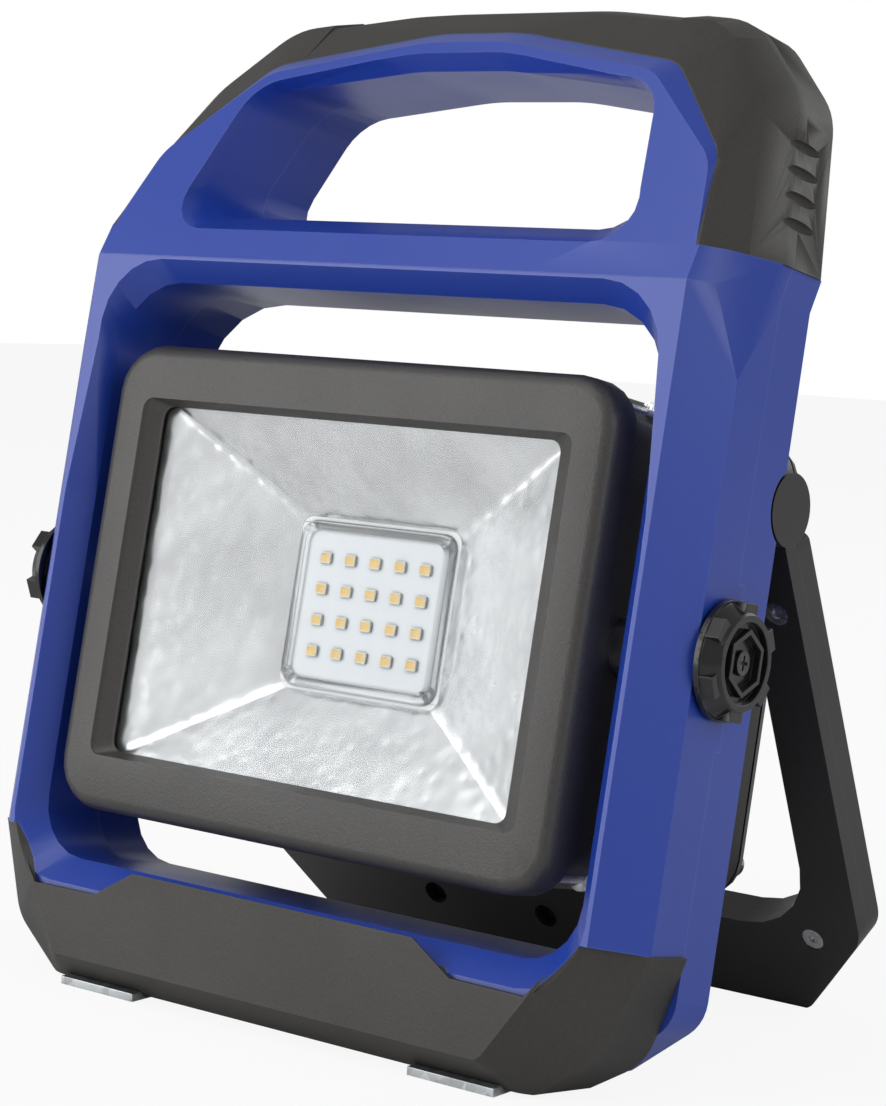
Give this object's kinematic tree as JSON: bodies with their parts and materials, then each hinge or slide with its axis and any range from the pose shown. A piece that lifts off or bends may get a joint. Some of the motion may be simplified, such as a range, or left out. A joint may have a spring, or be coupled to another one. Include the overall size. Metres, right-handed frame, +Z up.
{
  "type": "work light",
  "caption": "Rechargeable LED work light: a square floodlight head that tilts in a plastic carry frame with a handle, a rubber bumper and a fold-out rear stand.",
  "frame": {"origin": "on the floor, at the bottom centre of the whole light's box as it stands on its foot pads and open stand", "axes": "+X across the width, to the right as seen from the front; -Y is the way the light shines; +Z up"},
  "size_m": [0.2076, 0.1356, 0.2447],
  "materials": {
    "blue_plastic": "satin, fine grain",
    "soft_rubber": "matt, fine grain",
    "zinc_plate": "galvanised",
    "steel": "zinc plated",
    "white_nylon": "smooth",
    "black_fibre": "matt",
    "black_powder_coat": "fine textured powder coat",
    "black_plastic": "fine texture",
    "black_silicone": "smooth",
    "clear_glass": "tempered",
    "hammered_aluminium": "hammered, bright",
    "clear_window": "moulded clear plastic",
    "white_board": "solder mask",
    "phosphor": "yellow phosphor",
    "cell_wrap": "shrink sleeve",
    "green_board": "solder mask",
    "red_rubber": "satin",
    "gloss_black": "glossy",
    "stand_black": "satin, fine grain"
  },
  "bodies": {
    "frame": {"frame_front_shell": "blue_plastic", "frame_rear_shell": "blue_plastic", "grip_front_half": "soft_rubber", "grip_rear_half": "soft_rubber", "bottom_bumper": "soft_rubber", "foot_pads": "zinc_plate", "shell_screws": "steel", "tilt_bushes": "white_nylon", "knob_washers": "steel", "stand_pivot_pins": "steel", "stand_friction_washers": "black_fibre"},
    "head": {"front_bezel": "black_powder_coat", "head_housing": "black_powder_coat", "rear_cover": "black_plastic", "glass_gasket": "black_silicone", "glass_lens": "clear_glass", "reflector": "hammered_aluminium", "led_window": "clear_window", "led_board": "white_board", "led_chips": "phosphor", "led_board_screws": "steel", "bezel_screws": "steel", "head_trunnions": "steel", "rear_cover_gasket": "black_silicone", "rear_cover_screws": "steel", "cell_holder": "black_plastic", "battery_cells": "cell_wrap", "driver_board": "green_board", "control_board": "green_board", "power_switch": "black_plastic", "charge_socket": "black_plastic", "charge_port_pin": "steel"},
    "power_button": {"power_button": "red_rubber"},
    "charge_port_cover": {"charge_port_cover": "soft_rubber"},
    "right_knob": {"right_knob": "gloss_black", "right_knob_stud": "steel", "right_knob_screw": "steel"},
    "left_knob": {"left_knob": "gloss_black", "left_knob_stud": "steel", "left_knob_screw": "steel"},
    "stand": {"stand_front_plate": "stand_black", "stand_rear_shell": "stand_black", "stand_screws": "steel"}
  },
  "joints": [
    {"name": "head_tilt", "type": "hinge", "parent": "frame", "child": "head", "pos_m": [0, -0.02932, 0.09767], "axis": [1, 0, 0], "range_deg": [-25, 25]},
    {"name": "stand_fold", "type": "hinge", "parent": "frame", "child": "stand", "pos_m": [0, -0.00258, 0.12951], "axis": [1, 0, 0], "range_deg": [-36, 0]},
    {"name": "right_knob_turn", "type": "hinge", "parent": "frame", "child": "right_knob", "pos_m": [0.0984, -0.02932, 0.09767], "axis": [1, 0, 0], "range_deg": [0, 180]},
    {"name": "left_knob_turn", "type": "hinge", "parent": "frame", "child": "left_knob", "pos_m": [-0.0984, -0.02932, 0.09767], "axis": [-1, 0, 0], "range_deg": [0, 180]},
    {"name": "power_press", "type": "slide", "parent": "head", "child": "power_button", "axis": [0, -0.9848, 0.1736], "range_m": [0, 0.0015], "stiffness_N_per_m": 500},
    {"name": "port_cover_swing", "type": "hinge", "parent": "head", "child": "charge_port_cover", "pos_m": [0.034, 0.04286, 0.06819], "axis": [1, 0, 0], "range_deg": [0, 110]}
  ]
}
